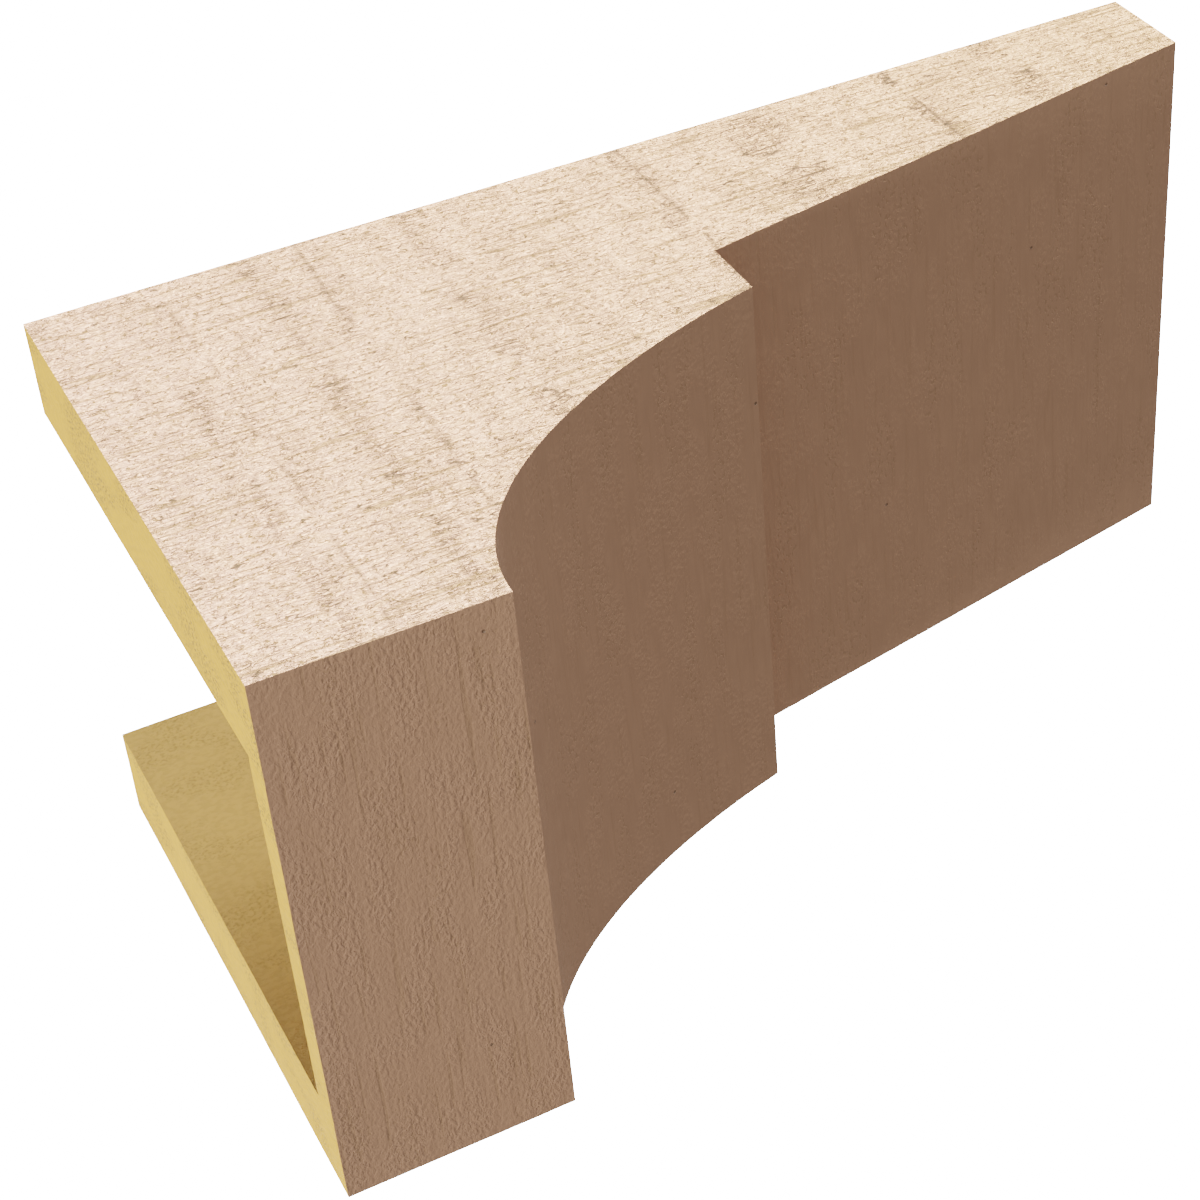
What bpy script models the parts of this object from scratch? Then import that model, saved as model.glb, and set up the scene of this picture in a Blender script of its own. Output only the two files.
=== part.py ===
"""Corbel cast in rigid urethane foam, with a skin moulded like rough-sawn timber.

It is one hollow piece: two thick cheeks, a thin front and a closed foot. It is open at the back,
where it goes against a wall, and at the top, where it meets a soffit, shelf or beam, so it can be
slid over a fixing block.

Units are metres and +Z is up. The wall is the plane Y = 0, the front faces -Y, and the origin is
on the wall, in the middle of the strip where the foot lands on it.
"""

import math

import bmesh
import bpy

# Driving dimensions. The outside is 6 inches wide, 6 inches deep and 12 inches high.
WIDTH = 0.1524
DEPTH = WIDTH
HEIGHT = 2 * WIDTH
CHEEK_WALL = WIDTH / 6
FRONT_WALL = WIDTH / 16
FOOT_WALL = CHEEK_WALL

# The front, from the top down: a flat fascia, a hollow curve, a step back and a taper to the foot.
FASCIA_HEIGHT = 0.375 * WIDTH
COVE_END_DEPTH = DEPTH / 2
STEP_BACK = WIDTH / 8
FOOT_DEPTH = 0.1875 * DEPTH

# The hollow curve is part of an upright ellipse centred in the plane of the fascia, so it leaves
# the fascia's lower edge running straight back and steepens on its way down to half height.
COVE_HALF_HEIGHT = 1.265 * WIDTH
COVE_STEPS = 40

# How far the cutter for the hollow passes the open back and the open top.
OVERCUT = 0.01

FOOT_Z = -FOOT_WALL / 2
TOP_Z = FOOT_Z + HEIGHT
STEP_Z = FOOT_Z + HEIGHT / 2
COVE_TOP_Z = TOP_Z - FASCIA_HEIGHT
COVE_CENTRE_Z = COVE_TOP_Z - COVE_HALF_HEIGHT
COVE_END_ANGLE = math.acos((STEP_Z - COVE_CENTRE_Z) / COVE_HALF_HEIGHT)
COVE_HALF_DEPTH = (DEPTH - COVE_END_DEPTH) / math.sin(COVE_END_ANGLE)
TAPER_TOP_DEPTH = COVE_END_DEPTH - STEP_BACK
TAPER_SLOPE = (TAPER_TOP_DEPTH - FOOT_DEPTH) / (STEP_Z - FOOT_Z)

# Principled BSDF values: base colour (linear), roughness.
SKIN_FINISH = ((0.62, 0.47, 0.34), 0.85)
FOAM_FINISH = ((0.62, 0.47, 0.20), 0.9)


def clear_scene():
    for thing in list(bpy.data.objects):
        bpy.data.objects.remove(thing, do_unlink=True)


def make_collection(name):
    collection = bpy.data.collections.new(name)
    bpy.context.scene.collection.children.link(collection)
    return collection


def make_material(name, finish):
    colour, roughness = finish
    material = bpy.data.materials.new(name)
    material.use_nodes = True
    shader = material.node_tree.nodes["Principled BSDF"]
    shader.inputs["Base Color"].default_value = (*colour, 1.0)
    shader.inputs["Roughness"].default_value = roughness
    shader.inputs["Metallic"].default_value = 0.0
    return material


def cove_arc(grow, start_angle, end_angle):
    """Points (depth, height) on the cove's ellipse, with both half axes longer by grow.

    The angle is counted from the top of the ellipse, towards the wall.
    """
    points = []
    for step in range(COVE_STEPS + 1):
        angle = start_angle + (end_angle - start_angle) * step / COVE_STEPS
        depth = DEPTH - (COVE_HALF_DEPTH + grow) * math.sin(angle)
        height = COVE_CENTRE_Z + (COVE_HALF_HEIGHT + grow) * math.cos(angle)
        points.append((depth, height))
    return points


def outer_outline():
    """Side view of the whole corbel, round from the top of the wall plane."""
    fascia = [(0.0, TOP_Z), (DEPTH, TOP_Z)]
    cove = cove_arc(0.0, 0.0, COVE_END_ANGLE)
    taper = [(TAPER_TOP_DEPTH, STEP_Z), (FOOT_DEPTH, FOOT_Z), (0.0, FOOT_Z)]
    return fascia + cove + taper


def taper_inside_depth(height):
    """Depth of the front wall's inner face in the taper, a wall's thickness behind the outer one."""
    wall_along_depth = FRONT_WALL * math.sqrt(1 + TAPER_SLOPE ** 2)
    return FOOT_DEPTH + TAPER_SLOPE * (height - FOOT_Z) - wall_along_depth


def hollow_outline():
    """Side view of the hollow: the front's outline moved in by its wall, and cut off at the foot.

    The ledge over the step is a wall's thickness above it, so the wall keeps its thickness there.
    """
    ledge_z = STEP_Z + FRONT_WALL
    floor_z = FOOT_Z + FOOT_WALL
    start_angle = math.asin(FRONT_WALL / (COVE_HALF_DEPTH + FRONT_WALL))
    end_angle = math.acos((ledge_z - COVE_CENTRE_Z) / (COVE_HALF_HEIGHT + FRONT_WALL))
    mouth = [(-OVERCUT, TOP_Z + OVERCUT), (DEPTH - FRONT_WALL, TOP_Z + OVERCUT)]
    cove = cove_arc(FRONT_WALL, start_angle, end_angle)
    lower = [(taper_inside_depth(ledge_z), ledge_z), (taper_inside_depth(floor_z), floor_z)]
    return mouth + cove + lower + [(-OVERCUT, floor_z)]


def extrude_outline(name, outline, width, collection):
    """A closed mesh from a side view, extruded across the corbel's width about its centre plane."""
    curve = bpy.data.curves.new(name + "_outline", "CURVE")
    curve.dimensions = "2D"
    curve.fill_mode = "BOTH"
    curve.extrude = width / 2
    spline = curve.splines.new("POLY")
    spline.points.add(len(outline) - 1)
    for point, (depth, height) in zip(spline.points, outline):
        point.co = (depth, height, 0.0, 1.0)
    spline.use_cyclic_u = True

    # The outline's x runs out from the wall (-Y), and its y runs up (+Z).
    curve_object = bpy.data.objects.new(name + "_outline", curve)
    curve_object.rotation_euler = (math.pi / 2, 0.0, -math.pi / 2)
    collection.objects.link(curve_object)
    bpy.context.view_layer.update()
    depsgraph = bpy.context.evaluated_depsgraph_get()
    mesh = bpy.data.meshes.new_from_object(curve_object.evaluated_get(depsgraph))
    mesh.name = name

    # The caps come loose from the walls, so they are welded to them.
    shape = bmesh.new()
    shape.from_mesh(mesh)
    bmesh.ops.remove_doubles(shape, verts=shape.verts, dist=1e-5)
    shape.to_mesh(mesh)
    shape.free()

    solid = bpy.data.objects.new(name, mesh)
    solid.matrix_world = curve_object.matrix_world.copy()
    collection.objects.link(solid)
    bpy.data.objects.remove(curve_object, do_unlink=True)
    return solid


def bare_faces(solid, slot):
    """Give the bare foam's slot to the faces that have no skin: the back and the top."""
    turn = solid.matrix_world.to_3x3()
    for face in solid.data.polygons:
        normal = turn @ face.normal
        if normal.y > 0.99 or normal.z > 0.99:
            face.material_index = slot


def make_corbel(parts, cutters):
    skin = make_material("moulded_skin", SKIN_FINISH)
    foam = make_material("bare_foam", FOAM_FINISH)

    corbel = extrude_outline("corbel", outer_outline(), WIDTH, parts)
    corbel.data.materials.append(skin)
    corbel.data.materials.append(foam)
    bare_faces(corbel, 1)

    hollow = extrude_outline("hollow", hollow_outline(), WIDTH - 2 * CHEEK_WALL, cutters)
    hollow.data.materials.append(foam)
    hollow.hide_render = True
    hollow.display_type = "WIRE"

    cut = corbel.modifiers.new("hollow", "BOOLEAN")
    cut.operation = "DIFFERENCE"
    cut.solver = "EXACT"
    cut.material_mode = "TRANSFER"
    cut.object = hollow


def main():
    clear_scene()
    parts = make_collection("corbel")
    cutters = make_collection("cutters")
    make_corbel(parts, cutters)


main()
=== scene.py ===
"""The look of the hollow foam corbel: saw-cut skin, bare foam, plain studio light and a camera.

The corbel is one casting, so it is one closed mesh. Each of its faces is a patch: a grid of
points on a plane or on the curve of the cove, with the grain's relief pressed into it. Patches
share the points along their edges, and those points take the relief of every patch they are on.
It stands upright, as it goes on a wall, and the camera is turned to see it lying on its side.
"""

import math

import bpy
import numpy as np
from mathutils import Matrix, Vector
from mathutils.geometry import delaunay_2d_cdt


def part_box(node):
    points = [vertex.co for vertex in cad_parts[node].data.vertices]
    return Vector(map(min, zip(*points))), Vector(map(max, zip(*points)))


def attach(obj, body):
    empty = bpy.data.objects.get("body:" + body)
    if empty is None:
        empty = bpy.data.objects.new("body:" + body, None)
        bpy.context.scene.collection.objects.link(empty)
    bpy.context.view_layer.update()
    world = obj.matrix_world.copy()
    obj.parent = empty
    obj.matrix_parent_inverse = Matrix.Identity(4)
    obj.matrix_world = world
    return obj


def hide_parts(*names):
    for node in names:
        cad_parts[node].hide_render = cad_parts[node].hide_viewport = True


MM = 0.001

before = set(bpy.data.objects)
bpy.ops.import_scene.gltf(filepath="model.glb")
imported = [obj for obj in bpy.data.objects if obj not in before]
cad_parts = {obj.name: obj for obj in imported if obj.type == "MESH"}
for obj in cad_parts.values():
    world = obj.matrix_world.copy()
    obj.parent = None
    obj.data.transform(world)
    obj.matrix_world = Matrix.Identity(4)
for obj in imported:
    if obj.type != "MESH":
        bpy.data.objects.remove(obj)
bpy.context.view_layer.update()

# The corbel's sizes, from the node's box. The ratios are those of the part's own drawing.
LOW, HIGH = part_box("corbel")
WIDTH = HIGH[0] - LOW[0]
DEPTH = HIGH[1] - LOW[1]
HALF_WIDTH = WIDTH / 2
WALL_Y = HIGH[1]
FOOT_Z = LOW[2]
TOP_Z = HIGH[2]
HEIGHT = TOP_Z - FOOT_Z
CHEEK_WALL = WIDTH / 6
FRONT_WALL = WIDTH / 16
FLOOR_Z = FOOT_Z + CHEEK_WALL
HALF_HOLLOW = HALF_WIDTH - CHEEK_WALL
STEP_Z = (FOOT_Z + TOP_Z) / 2
COVE_TOP_Z = TOP_Z - 0.375 * WIDTH
COVE_END_DEPTH = DEPTH / 2
TAPER_TOP_DEPTH = COVE_END_DEPTH - WIDTH / 8
FOOT_DEPTH = 0.1875 * DEPTH
TAPER_SLOPE = (TAPER_TOP_DEPTH - FOOT_DEPTH) / (STEP_Z - FOOT_Z)

# The cove is part of an upright ellipse centred in the plane of the fascia.
COVE_HALF_HEIGHT = 1.265 * WIDTH
COVE_CENTRE_Z = COVE_TOP_Z - COVE_HALF_HEIGHT
COVE_END_ANGLE = math.acos((STEP_Z - COVE_CENTRE_Z) / COVE_HALF_HEIGHT)
COVE_HALF_DEPTH = (DEPTH - COVE_END_DEPTH) / math.sin(COVE_END_ANGLE)
LEDGE_Z = STEP_Z + FRONT_WALL

# Cells of the patches. Edges that two patches share have the same cells on both.
CHEEK_CELLS = 14
HOLLOW_CELLS = 56
DEPTH_CELLS_TO_FRONT_WALL = 75
FRONT_WALL_CELLS = 5
HEIGHT_CELLS = 168

# Sizes of the cells on a skinned face, along its grain and across it, and on a bare one. A line of
# points a hem inside each edge keeps the shading of one face off the next.
ALONG_STEP = WIDTH / (2 * CHEEK_CELLS + HOLLOW_CELLS)
ACROSS_STEP = 0.8 * MM
FOAM_STEP = 3.5 * MM
EDGE_HEM = 0.35 * MM

# Points that measure the cove, the area in square metres under which a face is left out, and the
# angle in degrees past which an edge is sharp.
ARC_SAMPLES = 2000
SLIVER = 1e-4 * MM * MM
SHARP_ANGLE = 50

# Points whose coordinates fall in the same cell of this size are one point. The cells are moved
# by a third of one, so that no plane of the corbel runs along their edges.
WELD = 0.00071 * MM

# Faces that are alike read different stretches of the grain, this far apart in metres.
CHEEK_SHIFT = 0.5
HOLLOW_SHIFT = 1.0
RIM_SHIFT = 2.0

# Bands across the cheeks where the saw tore the grain: how far down from the top, as a share of
# the height, half the band's width in millimetres, and its strength.
TEAR_BANDS = [
    (0.079, 2.5, 0.7),
    (0.175, 3.5, 0.7),
    (0.214, 2.5, 0.6),
    (0.311, 4.5, 0.8),
    (0.500, 3.5, 0.9),
    (0.615, 7.0, 1.2),
    (0.754, 2.5, 1.0),
    (0.854, 4.0, 1.1),
]

# Thin lines that single teeth scored across the cheeks: how far down from the top, as a share of
# the height, and their strength.
TOOTH_LINES = [
    (0.0767, 0.8),
    (0.1015, 0.5),
    (0.146, 0.5),
    (0.182, 1.0),
    (0.215, 0.6),
    (0.311, 0.7),
    (0.5, 0.5),
    (0.614, 0.8),
    (0.7536, 1.0),
    (0.854, 0.6),
]

# Half the width of a tooth's line. A real one is about 0.1 mm wide, which is too fine to show, so
# it is drawn four times as wide.
TOOTH_LINE_REACH = 0.22 * MM

# Odd numbers that scramble a lattice corner's place and seed, and the 32 bits that are kept.
SCRAMBLE_U = 374761393
SCRAMBLE_V = 668265263
SCRAMBLE_SEED = 974634777
SCRAMBLE_AGAIN = 1274126177
WORD = 0xFFFFFFFF
HALF_WORD = 0xFFFF

# Colours of the finish: the primer at the cheek's foot and top and on the front, its marks, and
# the bare foam. On the cheeks the tuft colour is painted highlight on raised fibres, and the gap
# and crease colours are painted shade in the sunk gaps, cracks, splits, rows, creases, threads,
# combs, tooth lines and pits. On the front the gap colour marks streaks and specks, and the
# crease colour is painted shade in the pits.
PRIMER_FOOT = "#D7A277"
PRIMER_TOP = "#D09D84"
PRIMER_FRONT = "#B4876A"
POOL = "#B98A60"
TUFT_HIGHLIGHT = "#F8B792"
GAP_SHADE_AND_MARK = "#84643E"
CREASE_SHADE = "#665038"
SAWN_FOAM = "#BC883A"
CAST_FOAM = "#B0894E"
PORE = "#6E5A2C"

# Matt primer and foam scatter light widely, and their open texture halves the usual highlight.
PRIMER_ROUGHNESS = 0.85
FOAM_ROUGHNESS = 0.9
SPECULAR_LEVEL = 0.2

# Lights: the direction towards each times its strength, which is its irradiance over pi on a face
# square to it, and the angle that it fills, in degrees. All but the first are soft.
LIGHTS = [
    ("over_cheek", (5.6, -0.02, -0.02), 0.5),
    ("behind_cheek", (1.0, 0.85, -0.36), 30),
    ("behind_end", (0.18, 0.67, 1.49), 30),
    ("past_end", (0.0, -0.28, 0.8), 12),
    ("beside_far_cheek", (-1.5, 0.6, 0.0), 40),
    ("under_cove", (0.0, 0.0, -0.055), 20),
]

# The even light from all round, which stands for a pale room.
AMBIENT = 0.4

# Strength of the backdrop and the floor: far past white, so that both come out pure white.
WHITE = 20.0

# The floor reaches this far each way, in metres, and lies this far under the foot.
FLOOR_REACH = 20.0
FLOOR_GAP = 0.5 * MM

# The camera: its lens and sensor in millimetres, its shift, which way its right and back point,
# its place from the middle of the foot in widths of the corbel, and how far it sees in metres.
LENS = 83.63
SENSOR = 36.0
SHIFT = (-0.1413, -0.0427)
CAMERA_RIGHT = (-0.04098, -0.47358, -0.87979)
CAMERA_BACK = (0.60659, -0.71149, 0.35473)
CAMERA_PLACE = (2.7651, -3.7526, 2.6157)
FAR_CLIP = 100.0


def linear(hex_colour):
    """Linear red, green, blue and alpha of an sRGB hex colour."""
    parts = [int(hex_colour[i : i + 2], 16) / 255 for i in (1, 3, 5)]
    turned = [c / 12.92 if c <= 0.04045 else ((c + 0.055) / 1.055) ** 2.4 for c in parts]
    return (*turned, 1.0)


# Relief


def lattice_noise(u, v, seed):
    """Smooth noise from about -0.7 to 0.7, one cell to the unit.

    Each lattice corner has a direction picked by a hash. The value is the offset from the corner
    along that direction, blended over the cell's four corners by 6t^5 - 15t^4 + 10t^3.
    """
    u0 = np.floor(u).astype(np.int64)
    v0 = np.floor(v).astype(np.int64)
    fu = u - u0
    fv = v - v0

    def corner(du, dv):
        place = (u0 + du) * SCRAMBLE_U + (v0 + dv) * SCRAMBLE_V + seed * SCRAMBLE_SEED
        mixed = place & WORD
        mixed = ((mixed ^ (mixed >> 13)) * SCRAMBLE_AGAIN) & WORD
        turn = ((mixed ^ (mixed >> 16)) & HALF_WORD) * (2 * np.pi / (HALF_WORD + 1))
        return np.cos(turn) * (fu - du) + np.sin(turn) * (fv - dv)

    su = fu**3 * (fu * (6 * fu - 15) + 10)
    sv = fv**3 * (fv * (6 * fv - 15) + 10)
    low = corner(0, 0) * (1 - su) + corner(1, 0) * su
    high = corner(0, 1) * (1 - su) + corner(1, 1) * su
    return low * (1 - sv) + high * sv


def torn(along, across):
    """Where the saw tore the fibres, from 0 to 1.

    It is the sum of a bell curve along the grain for each band. Slow noise bends the bands, and
    more noise, kept from 0 to 1, is multiplied in to break them up.
    """
    bent = along + 3 * MM * lattice_noise(along / (30 * MM), across / (11 * MM), 11)
    bands = sum(
        strength * np.exp(-(((bent - (TOP_Z - down * HEIGHT)) / (reach * MM)) ** 2))
        for down, reach, strength in TEAR_BANDS
    )
    broken = 0.7 + 1.5 * lattice_noise(along / (16 * MM), across / (13 * MM), 12)
    return np.clip(bands * np.clip(broken, 0, 1), 0, 1)


def cheek_depth(along, across):
    """How far a cheek's skin lies below the casting's plain face, in metres, never negative.

    It adds a slow wave of the sawn board, raised fibres, and torn troughs in the saw's bands. The
    fibres are stretched noise, folded at zero so that the creases between them are sharp. The
    most it comes to is about 0.4 mm.
    """
    drift = 2 * MM * lattice_noise(along / (16 * MM), across / (7 * MM), 4)
    wave = 0.7 + lattice_noise(along / (60 * MM), across / (35 * MM), 1)
    fibre = 0.7 - np.abs(lattice_noise(along / (7 * MM), (across + drift) / (2.4 * MM), 5))
    trough = np.clip(lattice_noise(along / (8 * MM), (across + drift) / (2.6 * MM), 6) - 0.1, 0, 1)
    tear = torn(along, across)
    return (0.06 * wave + 0.14 * fibre + 0.06 * tear + 0.25 * tear * trough) * MM


def front_depth(along, across):
    """How far the front's skin lies below the plain face, in metres, never negative.

    It adds the same slow wave as on a cheek and longer fibres, and both are much shallower.
    """
    wave = 0.7 + lattice_noise(along / (60 * MM), across / (35 * MM), 1)
    fibre = 0.7 - np.abs(lattice_noise(along / (11 * MM), across / (2.4 * MM), 5))
    return (0.03 * wave + 0.02 * fibre) * MM


def foam_depth(along, across):
    """How far a bare foam face lies below its plain face: slow noise, about 0.1 mm at the most."""
    ripple = 0.7 + lattice_noise(along / (24 * MM), across / (16 * MM), 7)
    return 0.08 * MM * ripple


# Each kind of surface: its relief, and its place in the mesh's list of materials.
CHEEK = (cheek_depth, 0)
FRONT = (front_depth, 1)
SAWN = (foam_depth, 2)
CAST = (foam_depth, 3)


# Patches


def grid(rows, columns):
    """Quads of a grid of rows by columns of points, turning from the row's way to the column's."""
    first = (np.arange(rows - 1)[:, None] * columns + np.arange(columns - 1)).ravel()
    return np.stack([first, first + columns, first + columns + 1, first + 1], axis=1)


def spread(start, end, step):
    """Even stations from start to end about a step apart, with one more close to either end."""
    cells = max(2, round((end - start) / step))
    stations = np.linspace(start, end, cells + 1)
    hems = np.array([start + EDGE_HEM, end - EDGE_HEM])
    return np.sort(np.concatenate([stations, hems]))


def facing(points, faces, normal):
    """The same faces, turned over if the first one faces against the normal."""
    a, b, c = points[faces[0][:3]]
    turned = np.dot(np.cross(b - a, c - b), normal) < 0
    return faces[:, ::-1] if turned else faces


def patch(points, faces, along, across, normal, skin):
    """One face of the casting: its plain points, its faces, and what the relief and looks need.

    push moves each point in by the relief's depth there, against the normal. The tear map is a
    UV map, so it has a second value, which nothing reads.
    """
    depth, slot = skin
    normals = np.broadcast_to(np.asarray(normal, float), points.shape)
    return {
        "points": points,
        "faces": faces,
        "grain": np.stack([along, across], axis=1),
        "tear": np.stack([torn(along, across), np.zeros(len(points))], axis=1),
        "push": -normals * depth(along, across)[:, None],
        "slot": slot,
    }


def flat_patch(first, second, place, normal, skin, grain):
    """A rectangular grid patch. place turns first and second stations into points."""
    a, b = np.meshgrid(first, second, indexing="ij")
    a = a.ravel()
    b = b.ravel()
    points = place(a, b)
    faces = facing(points, grid(len(first), len(second)), normal)
    along, across = grain(a, b)
    return patch(points, faces, along, across, normal, skin)


def cove_depth(z, grow):
    """Depth of the cove at height z, with the ellipse's half axes longer by grow.

    It is the fascia's depth less the half depth times the root of 1 - r^2, where r is the height
    over the ellipse's centre as a share of its half height.
    """
    ratio = np.clip((z - COVE_CENTRE_Z) / (COVE_HALF_HEIGHT + grow), -1, 1)
    return DEPTH - (COVE_HALF_DEPTH + grow) * np.sqrt(1 - ratio**2)


def outer_depth(z):
    """Depth of the corbel's front at height z: the taper, then the cove, then the fascia."""
    taper = FOOT_DEPTH + TAPER_SLOPE * (z - FOOT_Z)
    upper = np.where(z < COVE_TOP_Z, cove_depth(z, 0.0), DEPTH)
    return np.where(z < STEP_Z, taper, upper)


def taper_inside(z):
    """Depth of the front wall's inner face in the taper, a wall behind the sloping outer one."""
    return FOOT_DEPTH + TAPER_SLOPE * (z - FOOT_Z) - FRONT_WALL * math.sqrt(1 + TAPER_SLOPE**2)


def hollow_depth(z):
    """Depth of the hollow at height z: the outer front moved in by the front wall."""
    inside = DEPTH - FRONT_WALL
    above = z > COVE_CENTRE_Z + COVE_HALF_HEIGHT + FRONT_WALL
    upper = np.where(above, inside, np.minimum(cove_depth(z, FRONT_WALL), inside))
    return np.where(z < LEDGE_Z, taper_inside(z), upper)


def line(start, end, step):
    """Points (depth, z) on a straight stretch of an outline, closer together at its ends."""
    start = np.array(start, float)
    end = np.array(end, float)
    length = np.linalg.norm(end - start)
    along = spread(0.0, length, step) / length
    return start + (end - start) * along[:, None]


def cove(grow, start_angle, end_angle, step):
    """Points (depth, z) down the cove, evenly spaced along it.

    They are found by measuring a fine run of the ellipse and reading it at even lengths. The
    angle is counted from the top of the ellipse.
    """
    fine = np.linspace(start_angle, end_angle, ARC_SAMPLES)
    depth = DEPTH - (COVE_HALF_DEPTH + grow) * np.sin(fine)
    z = COVE_CENTRE_Z + (COVE_HALF_HEIGHT + grow) * np.cos(fine)
    run = np.concatenate([[0], np.cumsum(np.hypot(np.diff(depth), np.diff(z)))])
    stations = spread(0.0, run[-1], step)
    return np.stack([np.interp(stations, run, depth), np.interp(stations, run, z)], axis=1)


def path_lengths(path):
    """How far each point of an outline is along it."""
    steps = np.linalg.norm(np.diff(path, axis=0), axis=1)
    return np.concatenate([[0], np.cumsum(steps)])


def path_normals(path):
    """Unit normals (depth, z) of an outline: its direction, turned a quarter towards outside."""
    run = np.gradient(path, axis=0)
    run = run / np.linalg.norm(run, axis=1)[:, None]
    return np.stack([-run[:, 1], run[:, 0]], axis=1)


def strip(path, x, start, sign, skin):
    """A stretch of outline carried across x. The grain runs along x, and across is its length.

    sign is 1 on the outer front and -1 on the hollow's wall, where the foam is on the other side.
    """
    out = path_normals(path) * sign
    rows = len(path)
    columns = len(x)
    points = np.empty((rows, columns, 3))
    points[..., 0] = x
    points[..., 1] = WALL_Y - path[:, None, 0]
    points[..., 2] = path[:, None, 1]
    normals = np.zeros((rows, columns, 3))
    normals[..., 1] = -out[:, None, 0]
    normals[..., 2] = out[:, None, 1]
    along = np.broadcast_to(x, (rows, columns)).ravel()
    across = np.broadcast_to((path_lengths(path) + start)[:, None], (rows, columns)).ravel()
    points = points.reshape(-1, 3)
    normals = normals.reshape(-1, 3)
    faces = facing(points, grid(rows, columns), normals[0])
    return patch(points, faces, along, across, normals, skin)


def strips(paths, x, start, sign, skin):
    """A strip for each stretch of an outline, with the grain running on from one to the next."""
    made = []
    for path in paths:
        made.append(strip(path, x, start, sign, skin))
        start += path_lengths(path)[-1]
    return made


def cheek(loop, depth_at, low_z, along_step, across_step, x, side, skin):
    """A cheek's flat face: its outline filled with a grid of points, and the two joined up.

    loop holds the outline's points (depth, z), shared with the patches round it. A grid point is
    kept where the outline is more than a margin off, and a Delaunay net joins grid and outline.
    """
    margin = 0.6 * across_step
    z, inward = np.meshgrid(
        np.arange(low_z + along_step / 2, TOP_Z, along_step),
        np.arange(across_step / 2, DEPTH, across_step),
        indexing="ij",
    )
    room = depth_at(z - margin) > inward + margin
    room &= (z > low_z + margin) & (z < TOP_Z - margin) & (inward > margin)
    inner = np.stack([inward[room], z[room]], axis=1)
    placed = np.concatenate([loop, inner])
    ends = np.arange(len(loop))
    ring = np.stack([ends, np.roll(ends, -1)], axis=1)
    net = delaunay_2d_cdt((placed / MM).tolist(), ring.tolist(), [], 0, 1e-4, False)
    faces = np.array(net[2])

    # The net fills the outline's hull, so what lies past the outline comes off.
    a, b, c = placed[faces].transpose(1, 0, 2)
    middle = (a + b + c) / 3
    area = np.abs(np.cross(b - a, c - a)) / 2
    faces = faces[(middle[:, 0] < depth_at(middle[:, 1])) & (area > SLIVER)]
    points = np.stack([np.full(len(placed), x), WALL_Y - placed[:, 0], placed[:, 1]], axis=1)
    normal = np.array([side, 0.0, 0.0])
    along = placed[:, 1]
    across = placed[:, 0] + side * CHEEK_SHIFT
    return patch(points, facing(points, faces, normal), along, across, normal, skin)


def outer_stretches():
    """The outline's stretches down the front: fascia, cove, step, taper and foot."""
    return [
        line((DEPTH, TOP_Z), (DEPTH, COVE_TOP_Z), ACROSS_STEP),
        cove(0.0, 0.0, COVE_END_ANGLE, ACROSS_STEP),
        line((COVE_END_DEPTH, STEP_Z), (TAPER_TOP_DEPTH, STEP_Z), ACROSS_STEP),
        line((TAPER_TOP_DEPTH, STEP_Z), (FOOT_DEPTH, FOOT_Z), ACROSS_STEP),
        line((FOOT_DEPTH, FOOT_Z), (0.0, FOOT_Z), ACROSS_STEP),
    ]


def hollow_stretches():
    """The hollow's stretches down inside the front: upper wall, cove, ledge, taper and floor."""
    start = math.asin(FRONT_WALL / (COVE_HALF_DEPTH + FRONT_WALL))
    end = math.acos((LEDGE_Z - COVE_CENTRE_Z) / (COVE_HALF_HEIGHT + FRONT_WALL))
    curve = cove(FRONT_WALL, start, end, FOAM_STEP)
    under_ledge = (taper_inside(LEDGE_Z), LEDGE_Z)
    floor_front = (taper_inside(FLOOR_Z), FLOOR_Z)
    return [
        line((DEPTH - FRONT_WALL, TOP_Z), tuple(curve[0]), FOAM_STEP),
        curve,
        line(tuple(curve[-1]), under_ledge, FOAM_STEP),
        line(under_ledge, floor_front, FOAM_STEP),
        line(floor_front, (0.0, FLOOR_Z), FOAM_STEP),
    ]


def closed_loop(stretches, back, over):
    """One ring of points from stretches down the front, the line up the wall and the top's line.

    Each starts where the last one ends, so the points that repeat are left out.
    """
    down = np.concatenate([stretches[0]] + [stretch[1:] for stretch in stretches[1:]])
    return np.concatenate([down[:-1], back[:-1], over[:-1]])


def rim_patches(x, top, z):
    """The rims at the top and against the wall: two cheeks, and the front or the foot between."""
    x_left = x[: CHEEK_CELLS + 1]
    x_hollow = x[CHEEK_CELLS : CHEEK_CELLS + HOLLOW_CELLS + 1]
    x_right = x[CHEEK_CELLS + HOLLOW_CELLS :]
    front = top[DEPTH_CELLS_TO_FRONT_WALL:]
    foot = z[: CHEEK_CELLS + 1]

    def on_top(a, b):
        return np.stack([a, WALL_Y - b, np.full(len(a), TOP_Z)], axis=1)

    def on_wall(a, b):
        return np.stack([a, np.full(len(a), WALL_Y), b], axis=1)

    def rim_grain(a, b):
        return b + RIM_SHIFT, a

    up = np.array([0.0, 0.0, 1.0])
    out = np.array([0.0, 1.0, 0.0])
    return [
        flat_patch(x_left, top, on_top, up, SAWN, rim_grain),
        flat_patch(x_left, z, on_wall, out, SAWN, rim_grain),
        flat_patch(x_right, top, on_top, up, SAWN, rim_grain),
        flat_patch(x_right, z, on_wall, out, SAWN, rim_grain),
        flat_patch(x_hollow, front, on_top, up, SAWN, rim_grain),
        flat_patch(x_hollow, foot, on_wall, out, SAWN, rim_grain),
    ]


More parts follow.
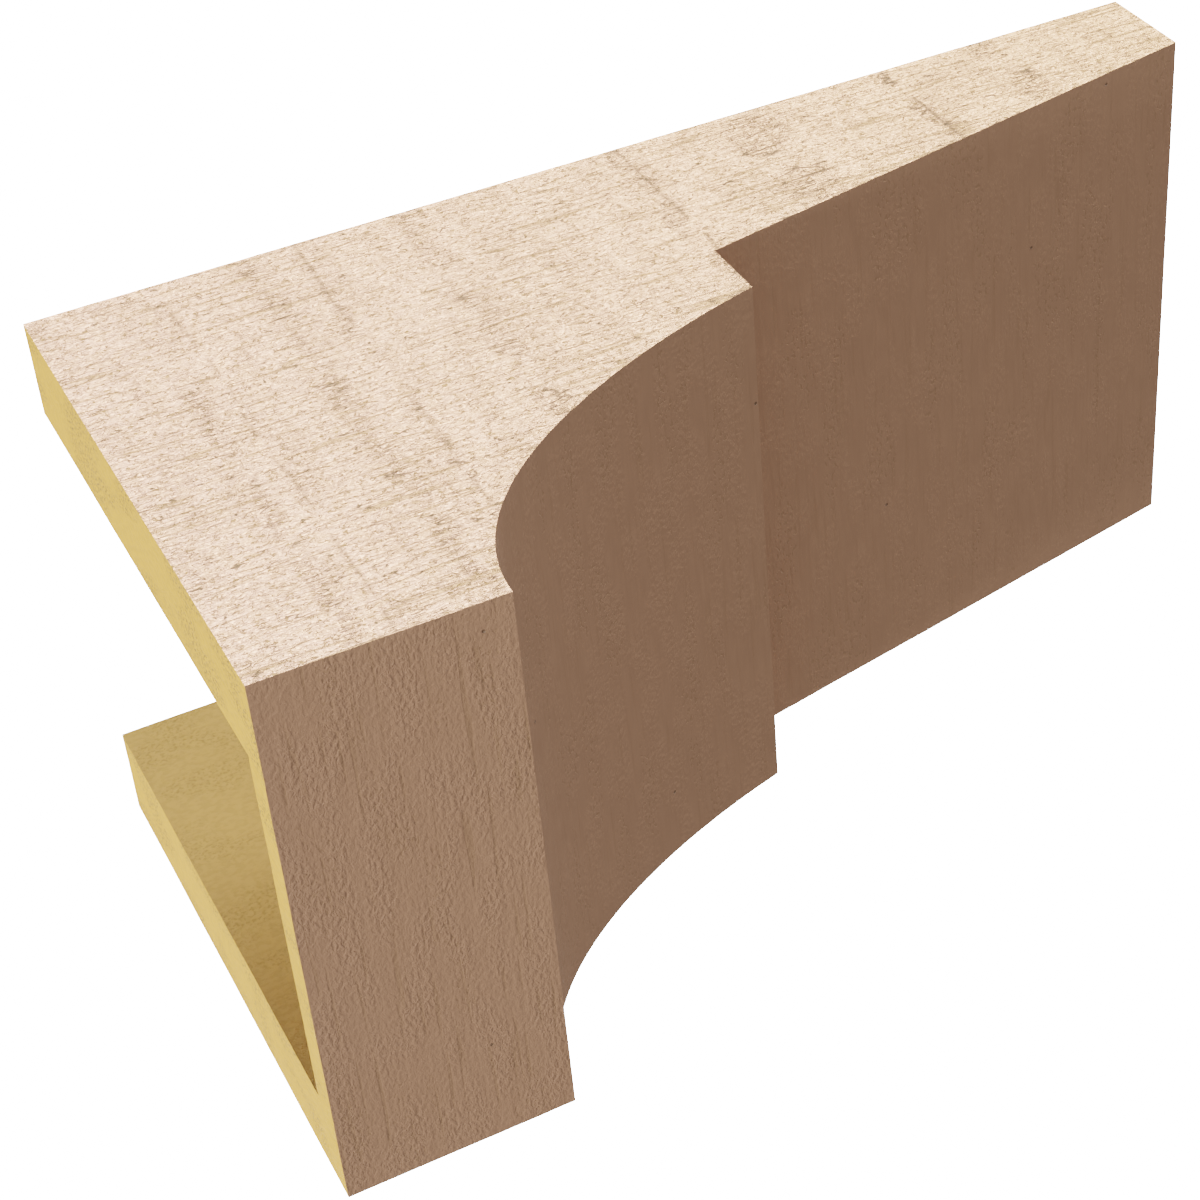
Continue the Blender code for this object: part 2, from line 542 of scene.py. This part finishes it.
def corbel_patches():
    """Every face of the casting: the skinned front and cheeks, the bare hollow and the rims."""
    x = np.linspace(-HALF_WIDTH, HALF_WIDTH, 2 * CHEEK_CELLS + HOLLOW_CELLS + 1)
    x_hollow = x[CHEEK_CELLS : CHEEK_CELLS + HOLLOW_CELLS + 1]
    top = np.linspace(0.0, DEPTH, DEPTH_CELLS_TO_FRONT_WALL + FRONT_WALL_CELLS + 1)
    z = np.linspace(FOOT_Z, TOP_Z, HEIGHT_CELLS + 1)
    back = np.stack([np.zeros(len(z)), z], axis=1)
    over = np.stack([top, np.full(len(top), TOP_Z)], axis=1)

    # Outside, with the skin: the front and the foot, then the cheeks.
    outer = outer_stretches()
    patches = strips(outer, x, 0.0, 1, FRONT)
    ring = closed_loop(outer, back, over)
    for side in (-1, 1):
        face_x = side * HALF_WIDTH
        patches.append(
            cheek(ring, outer_depth, FOOT_Z, ALONG_STEP, ACROSS_STEP, face_x, side, CHEEK)
        )

    # Inside, bare: the hollow's front wall and floor, then the cheeks.
    inner = hollow_stretches()
    patches += strips(inner, x_hollow, HOLLOW_SHIFT, -1, CAST)
    ring = closed_loop(inner, back[CHEEK_CELLS:], over[: DEPTH_CELLS_TO_FRONT_WALL + 1])
    for side in (-1, 1):
        face_x = side * HALF_HOLLOW
        patches.append(
            cheek(ring, hollow_depth, FLOOR_Z, FOAM_STEP, FOAM_STEP, face_x, -side, CAST)
        )
    return patches + rim_patches(x, top, z)


def build_mesh(name, patches, materials):
    """One closed mesh from the patches: their shared points are merged and pushed in together."""
    points = np.concatenate([p["points"] for p in patches])
    cells = np.floor(points / WELD + 1 / 3).astype(np.int64)
    _, first, index = np.unique(cells, axis=0, return_index=True, return_inverse=True)
    index = index.ravel()
    placed = points[first].copy()
    np.add.at(placed, index, np.concatenate([p["push"] for p in patches]))

    corners = []
    sizes = []
    slots = []
    maps = {"grain": [], "tear": []}
    start = 0
    for p in patches:
        faces = p["faces"]
        corners.append(index[start + faces.ravel()])
        sizes.append(np.full(len(faces), faces.shape[1]))
        slots.append(np.full(len(faces), p["slot"]))
        for map_name, values in maps.items():
            values.append(p[map_name][faces.ravel()])
        start += len(p["points"])
    corners = np.concatenate(corners).astype(np.int32)
    sizes = np.concatenate(sizes)
    starts = np.concatenate([[0], np.cumsum(sizes)[:-1]]).astype(np.int32)

    mesh = bpy.data.meshes.new(name)
    mesh.vertices.add(len(placed))
    mesh.vertices.foreach_set("co", placed.astype(np.float32).ravel())
    mesh.loops.add(len(corners))
    mesh.loops.foreach_set("vertex_index", corners)
    mesh.polygons.add(len(sizes))
    mesh.polygons.foreach_set("loop_start", starts)
    for material in materials:
        mesh.materials.append(material)
    mesh.polygons.foreach_set("material_index", np.concatenate(slots).astype(np.int32))
    for map_name, values in maps.items():
        layer = mesh.uv_layers.new(name=map_name)
        layer.data.foreach_set("uv", np.concatenate(values).astype(np.float32).ravel())
    mesh.update(calc_edges=True)
    mesh.validate()
    mesh.shade_smooth()
    mesh.set_sharp_from_angle(angle=math.radians(SHARP_ANGLE))
    return mesh


# Materials


def add(tree, kind, settings=None, inputs=None):
    """Adds a node, sets its settings, and sets or links each of its inputs."""
    made = tree.nodes.new(kind)
    for key, value in (settings or {}).items():
        setattr(made, key, value)
    for key, value in (inputs or {}).items():
        if isinstance(value, bpy.types.NodeSocket):
            tree.links.new(value, made.inputs[key])
        else:
            made.inputs[key].default_value = value
    return made


def pattern(tree, grain, along, across, seed, detail=0.0, warp=0.0):
    """Noise from about 0.2 to 0.8 whose cells are along by across, in metres, on the grain map."""
    size = (1 / along, 1 / across, 1.0)
    placed = add(
        tree, "ShaderNodeMapping", inputs={0: grain, "Location": (seed, seed, 0.0), "Scale": size}
    )
    noise = add(
        tree,
        "ShaderNodeTexNoise",
        {"noise_dimensions": "2D"},
        {"Vector": placed.outputs[0], "Scale": 1.0, "Detail": detail, "Distortion": warp},
    )
    return noise.outputs[0]


def off_middle(tree, noise):
    """How far a noise is from its middle value: it is 0 on thin lines that run along its cells."""
    off = add(tree, "ShaderNodeMath", {"operation": "SUBTRACT"}, {0: noise, 1: 0.5})
    return add(tree, "ShaderNodeMath", {"operation": "ABSOLUTE"}, {0: off.outputs[0]}).outputs[0]


def share(tree, value, none, full, within=1.0):
    """A smooth step: 0 where the value is at none, and the mask within where it is at full."""
    step = add(
        tree,
        "ShaderNodeMapRange",
        {"interpolation_type": "SMOOTHSTEP"},
        {"Value": value, "From Min": none, "From Max": full},
    )
    masked = add(
        tree, "ShaderNodeMath", {"operation": "MULTIPLY"}, {0: step.outputs[0], 1: within}
    )
    return masked.outputs[0]


def up_the_corbel(tree, height):
    """A height in metres as a share of the corbel's: 0 at the foot and 1 at the top."""
    ramp = add(
        tree,
        "ShaderNodeMapRange",
        inputs={"Value": height, "From Min": FOOT_Z, "From Max": TOP_Z},
    )
    return ramp.outputs[0]


def tint(tree, skin, shape, colour, amount):
    """A skin, which is a pair of a colour and a height, turned by amount to a colour on a shape."""
    under, height = skin
    much = add(tree, "ShaderNodeMath", {"operation": "MULTIPLY"}, {0: shape, 1: amount})
    turned = add(
        tree,
        "ShaderNodeMix",
        {"data_type": "RGBA"},
        {0: much.outputs[0], 6: under, 7: linear(colour)},
    )
    return turned.outputs[2], height


def lift(tree, skin, shape, rise):
    """A skin raised by rise, in metres, on a shape."""
    colour, height = skin
    raised = add(
        tree, "ShaderNodeMath", {"operation": "MULTIPLY_ADD"}, {0: shape, 1: rise, 2: height}
    )
    return colour, raised.outputs[0]


def mark(tree, skin, shape, colour, amount, rise):
    """A skin with marks on it: on their shape they turn its colour by amount, and raise it."""
    return lift(tree, tint(tree, skin, shape, colour, amount), shape, rise)


def pits(tree, grain, apart):
    """A few small round pits, about one in each square of the grain map that is apart wide.

    A pit is a smooth step of the distance from a point that is placed at random in the square:
    full within 0.2 mm and gone at 0.55 mm.
    """
    placed = add(
        tree, "ShaderNodeMapping", inputs={0: grain, "Scale": (1 / apart, 1 / apart, 1.0)}
    )
    cells = add(
        tree,
        "ShaderNodeTexVoronoi",
        {"voronoi_dimensions": "2D"},
        {"Vector": placed.outputs[0], "Scale": 1.0},
    )
    return share(tree, cells.outputs["Distance"], 0.55 * MM / apart, 0.2 * MM / apart)


def tooth_lines(tree, grain, along):
    """Thin straight lines across the grain at TOOTH_LINES: their strength there, and 0 elsewhere.

    A colour ramp up the corbel has a narrow peak for each line, and slow noise bends them.
    """
    bend = pattern(tree, grain, 40 * MM, 30 * MM, 2)
    bent = add(
        tree, "ShaderNodeMath", {"operation": "MULTIPLY_ADD"}, {0: bend, 1: 2 * MM, 2: along}
    )
    height = up_the_corbel(tree, bent.outputs[0])
    lines = add(tree, "ShaderNodeValToRGB", inputs={0: height})
    stops = lines.color_ramp.elements
    stops[1].color = (0.0, 0.0, 0.0, 1.0)
    side = TOOTH_LINE_REACH / HEIGHT
    for down, strength in TOOTH_LINES:
        for offset, level in ((-side, 0.0), (0.0, strength), (side, 0.0)):
            stop = stops.new(1 - down + offset)
            stop.color = (level, level, level, 1.0)
    return lines.outputs[0]


def surface(name, roughness):
    """A new matt material: itself, its tree, its shader and the grain map."""
    material = bpy.data.materials.new(name)
    material.use_nodes = True
    tree = material.node_tree
    shader = tree.nodes["Principled BSDF"]
    shader.inputs["Roughness"].default_value = roughness
    shader.inputs["Specular IOR Level"].default_value = SPECULAR_LEVEL
    grain = add(tree, "ShaderNodeUVMap", {"uv_map": "grain"})
    return material, tree, shader, grain.outputs[0]


def finish(tree, shader, skin):
    """Gives a shader the colour of a skin, and its height as a bump."""
    colour, height = skin
    bump = add(tree, "ShaderNodeBump", inputs={"Distance": 1.0, "Height": height})
    tree.links.new(colour, shader.inputs["Base Color"])
    tree.links.new(bump.outputs[0], shader.inputs["Normal"])


def cheek_material():
    """Rigid urethane foam moulded against a rough-sawn board, and sprayed with tan primer.

    To the eye it is matt and chalky, with a fuzz of cut fibres, long rows up the cheek where the
    saw ran with the grain, and bands across it where the saw tore the fibres out. Part of the light
    and dark of this relief is painted into the colour: painted highlight on the raised tufts, and
    painted shade in the sunk marks.
    """
    material, tree, shader, grain = surface("primed_rough_sawn_cheek", PRIMER_ROUGHNESS)
    place = add(tree, "ShaderNodeSeparateXYZ", inputs={0: grain})
    base = add(
        tree,
        "ShaderNodeMix",
        {"data_type": "RGBA"},
        {
            0: up_the_corbel(tree, place.outputs[0]),
            6: linear(PRIMER_FOOT),
            7: linear(PRIMER_TOP),
        },
    )
    tears = add(tree, "ShaderNodeUVMap", {"uv_map": "tear"})
    tear = add(tree, "ShaderNodeSeparateXYZ", inputs={0: tears.outputs[0]})
    skin = (base.outputs[2], 0.0)

    # The primer is pinker on high fibres and more ochre where it pooled, a few millimetres apart.
    pools = pattern(tree, grain, 4 * MM, 2.4 * MM, 21, detail=3.0)
    skin = tint(tree, skin, share(tree, pools, 0.42, 0.62), POOL, 0.35)

    # The fuzz of the sawn fibres: raised tufts, whose lighter colour is painted highlight, and
    # sunk gaps, whose darker colour is painted shade. Real tufts are about 0.3 mm wide, which is
    # one pixel, so they are drawn two to three times as coarse.
    fuzz = pattern(tree, grain, 0.95 * MM, 0.6 * MM, 3, detail=2.0, warp=0.5)
    skin = mark(tree, skin, share(tree, fuzz, 0.40, 0.66), TUFT_HIGHLIGHT, 0.6, 0.42 * MM)
    skin = mark(tree, skin, share(tree, fuzz, 0.42, 0.28), GAP_SHADE_AND_MARK, 0.3, -0.2 * MM)

    # Fine wandering cracks between fibres 1 to 2 mm apart, drawn wider than real ones. They are
    # sunk, and their darker colour is painted shade.
    cracks = off_middle(tree, pattern(tree, grain, 1.5 * MM, 0.95 * MM, 4, detail=1.0, warp=0.7))
    broken = share(tree, pattern(tree, grain, 2.2 * MM, 1.4 * MM, 6), 0.42, 0.54)
    skin = mark(tree, skin, share(tree, cracks, 0.05, 0.012, broken), GAP_SHADE_AND_MARK, 0.9, -0.55 * MM)

    # Splits and wavy creases, in the torn bands and in patches that are wide across the grain. Both
    # are sunk, and their darker colour is painted shade.
    tear_out = share(tree, tear.outputs[0], 0.15, 0.5)
    across = share(tree, pattern(tree, grain, 9 * MM, 24 * MM, 9, detail=2.0), 0.36, 0.76, 0.6)
    dense = add(tree, "ShaderNodeMath", {"operation": "MAXIMUM"}, {0: across, 1: tear_out})
    splits = off_middle(tree, pattern(tree, grain, 2.2 * MM, 1.1 * MM, 31, detail=1.0, warp=0.9))
    split = share(tree, splits, 0.045, 0.012, dense.outputs[0])
    skin = mark(tree, skin, split, GAP_SHADE_AND_MARK, 0.35, -0.35 * MM)
    waves = off_middle(tree, pattern(tree, grain, 4.5 * MM, 2.6 * MM, 10, detail=1.0, warp=1.0))
    wavy = share(tree, waves, 0.018, 0.006, dense.outputs[0])
    skin = mark(tree, skin, wavy, CREASE_SHADE, 0.65, -0.5 * MM)

    # Straight rows of the saw along the grain, 2 to 3 mm apart, and short threads beside them. Both
    # are sunk, and their darker colour is painted shade.
    rows = off_middle(tree, pattern(tree, grain, 60 * MM, 2.6 * MM, 7, detail=1.0))
    skin = mark(tree, skin, share(tree, rows, 0.024, 0.007), GAP_SHADE_AND_MARK, 0.65, -0.5 * MM)
    threads = off_middle(tree, pattern(tree, grain, 8 * MM, 1.6 * MM, 8, warp=0.2))
    strong = share(tree, pattern(tree, grain, 4 * MM, 2.2 * MM, 33), 0.56, 0.64)
    skin = mark(tree, skin, share(tree, threads, 0.03, 0.01, strong), CREASE_SHADE, 0.9, -0.45 * MM)

    # Combs of fibre torn out in the bands, 3 mm apart, thin lines that single teeth left across
    # the cheek, and a few pits that were bubbles in the mould. All are sunk, and their darker
    # colour is painted shade.
    combs = off_middle(tree, pattern(tree, grain, 18 * MM, 3.0 * MM, 11, warp=0.3))
    skin = mark(tree, skin, share(tree, combs, 0.030, 0.010, tear_out), CREASE_SHADE, 0.8, -0.5 * MM)
    scored = share(tree, pattern(tree, grain, 30 * MM, 14 * MM, 13, detail=2.0), 0.36, 0.50)
    teeth = share(tree, tooth_lines(tree, grain, place.outputs[0]), 0.0, 0.7, scored)
    skin = mark(tree, skin, teeth, CREASE_SHADE, 0.7, -0.3 * MM)
    skin = mark(tree, skin, pits(tree, grain, 40 * MM), CREASE_SHADE, 1.0, -0.5 * MM)
    finish(tree, shader, skin)
    return material


def front_material():
    """The same primer on the front, moulded from planed timber whose grain runs across it.

    To the eye it is matt and even, with a low fuzz on the fascia, hardly any on the cove and the
    taper, and faint long streaks.
    """
    material, tree, shader, grain = surface("primed_planed_front", PRIMER_ROUGHNESS)
    skin = (linear(PRIMER_FRONT), 0.0)

    # Fuzz, higher on the fascia and in patches a few centimetres long. Real fuzz is about 0.3 mm
    # wide, so it is drawn three to five times as coarse. Long low ridges lie 2 to 3 mm apart.
    fuzz = pattern(tree, grain, 1.6 * MM, 1.05 * MM, 5, detail=2.0, warp=0.2)
    patches = pattern(tree, grain, 20 * MM, 7 * MM, 9)
    place = add(tree, "ShaderNodeSeparateXYZ", inputs={0: grain})
    fascia = TOP_Z - COVE_TOP_Z
    on_fascia = share(tree, place.outputs[1], fascia + 1 * MM, fascia)
    in_patches = share(tree, patches, 0.35, 0.65)
    in_both = share(tree, patches, 0.35, 0.65, on_fascia)
    skin = lift(tree, skin, share(tree, fuzz, 0.2, 0.8, in_patches), 0.035 * MM)
    skin = lift(tree, skin, share(tree, fuzz, 0.2, 0.8, in_both), 0.06 * MM)
    skin = lift(tree, skin, share(tree, fuzz, 0.2, 0.8, on_fascia), 0.09 * MM)
    ridges = pattern(tree, grain, 26 * MM, 2.2 * MM, 17, detail=1.0)
    skin = lift(tree, skin, share(tree, ridges, 0.3, 0.7), 0.035 * MM)

    # Long darker streaks, clearer on the fascia, dark specks in bands, and a few pits. The pits are
    # sunk, and their darker colour is painted shade.
    streaks = pattern(tree, grain, 34 * MM, 1.8 * MM, 18, detail=1.0)
    skin = mark(tree, skin, share(tree, streaks, 0.62, 0.76), GAP_SHADE_AND_MARK, 0.07, -0.02 * MM)
    skin = mark(tree, skin, share(tree, streaks, 0.62, 0.76, on_fascia), GAP_SHADE_AND_MARK, 0.13, -0.03 * MM)
    bands = share(tree, pattern(tree, grain, 45 * MM, 9 * MM, 19, detail=1.0), 0.50, 0.65)
    specks = pattern(tree, grain, 1.6 * MM, 1.0 * MM, 20, detail=1.0)
    skin = mark(tree, skin, share(tree, specks, 0.54, 0.72, bands), GAP_SHADE_AND_MARK, 0.22, -0.05 * MM)
    skin = mark(tree, skin, pits(tree, grain, 80 * MM), CREASE_SHADE, 0.8, -0.3 * MM)
    finish(tree, shader, skin)
    return material


def foam_material(name, colour, open_pores, seed):
    """Bare rigid urethane foam, sawn at the rims or cast in the hollow, with pores in streaks.

    To the eye it is dull mustard yellow and matt. Sawing opens its cells, so the rims have darker
    pores than the cast faces. Real cells are about 0.3 mm wide, and are drawn three times that.
    """
    material, tree, shader, grain = surface(name, FOAM_ROUGHNESS)
    skin = (linear(colour), 0.0)
    mottles = pattern(tree, grain, 2.4 * MM, 1.4 * MM, seed + 2, detail=3.0)
    skin = mark(tree, skin, share(tree, mottles, 0.40, 0.64), PORE, 0.16, -0.08 * MM)
    streaks = share(tree, pattern(tree, grain, 26 * MM, 14 * MM, seed, detail=1.0), 0.42, 0.60)
    pores = pattern(tree, grain, 1.0 * MM, 0.8 * MM, seed + 1, detail=1.0)
    skin = mark(tree, skin, share(tree, pores, 0.50, 0.68, streaks), PORE, open_pores, -0.08 * MM)
    finish(tree, shader, skin)
    return material


# Light and camera


def make_camera():
    """The camera, placed so that the corbel's corners fall where the photograph has them."""
    data = bpy.data.cameras.new("camera")
    data.sensor_width = SENSOR
    data.lens = LENS
    data.shift_x, data.shift_y = SHIFT
    data.clip_end = FAR_CLIP
    camera = bpy.data.objects.new("camera", data)
    bpy.context.scene.collection.objects.link(camera)
    back = Vector(CAMERA_BACK).normalized()
    up = back.cross(Vector(CAMERA_RIGHT).normalized()).normalized()
    right = up.cross(back)
    x, y, z = (WIDTH * part for part in CAMERA_PLACE)
    camera.matrix_world = Matrix(
        (
            (right.x, up.x, back.x, x),
            (right.y, up.y, back.y, y),
            (right.z, up.z, back.z, z + FOOT_Z),
            (0.0, 0.0, 0.0, 1.0),
        )
    )
    bpy.context.scene.camera = camera


def make_lights():
    """A far light for each row of LIGHTS."""
    for name, strength, angle in LIGHTS:
        towards = Vector(strength)
        data = bpy.data.lights.new(name, "SUN")
        data.energy = towards.length * math.pi
        data.angle = math.radians(angle)
        light = bpy.data.objects.new(name, data)
        light.rotation_mode = "QUATERNION"
        light.rotation_quaternion = towards.to_track_quat("Z", "Y")
        bpy.context.scene.collection.objects.link(light)


def make_world():
    """White to the camera, and a low even light to the corbel."""
    world = bpy.data.worlds.new("studio")
    bpy.context.scene.world = world
    world.use_nodes = True
    tree = world.node_tree
    background = tree.nodes["Background"]
    background.inputs["Color"].default_value = (AMBIENT, AMBIENT, AMBIENT, 1.0)
    white = add(tree, "ShaderNodeBackground", inputs={"Color": (1, 1, 1, 1), "Strength": WHITE})
    path = add(tree, "ShaderNodeLightPath")
    mix = add(
        tree,
        "ShaderNodeMixShader",
        inputs={
            0: path.outputs["Is Camera Ray"],
            1: background.outputs[0],
            2: white.outputs[0],
        },
    )
    tree.links.new(mix.outputs[0], tree.nodes["World Output"].inputs["Surface"])


def make_floor():
    """A plain white floor under the foot, lit from within so that it shows no shadow."""
    level = FOOT_Z - FLOOR_GAP
    corners = [(-1, -1), (1, -1), (1, 1), (-1, 1)]
    mesh = bpy.data.meshes.new("floor")
    mesh.from_pydata(
        [(x * FLOOR_REACH, y * FLOOR_REACH, level) for x, y in corners],
        [],
        [(0, 1, 2, 3)],
    )
    material = bpy.data.materials.new("white_floor")
    material.use_nodes = True
    tree = material.node_tree
    glow = add(tree, "ShaderNodeEmission", inputs={"Strength": WHITE})
    tree.links.new(glow.outputs[0], tree.nodes["Material Output"].inputs["Surface"])
    mesh.materials.append(material)
    floor = bpy.data.objects.new("floor", mesh)
    bpy.context.scene.collection.objects.link(floor)
    floor.visible_diffuse = False
    floor.visible_glossy = False
    floor.visible_shadow = False


def main():
    bpy.context.scene.view_settings.view_transform = "Filmic"
    make_camera()
    make_lights()
    make_world()
    make_floor()
    materials = [
        cheek_material(),
        front_material(),
        foam_material("sawn_urethane_foam", SAWN_FOAM, 0.85, 15),
        foam_material("cast_urethane_foam", CAST_FOAM, 0.35, 25),
    ]
    mesh = build_mesh("corbel_casting", corbel_patches(), materials)
    casting = bpy.data.objects.new("corbel_casting", mesh)
    bpy.context.scene.collection.objects.link(casting)
    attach(casting, "root")
    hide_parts("corbel")


main()
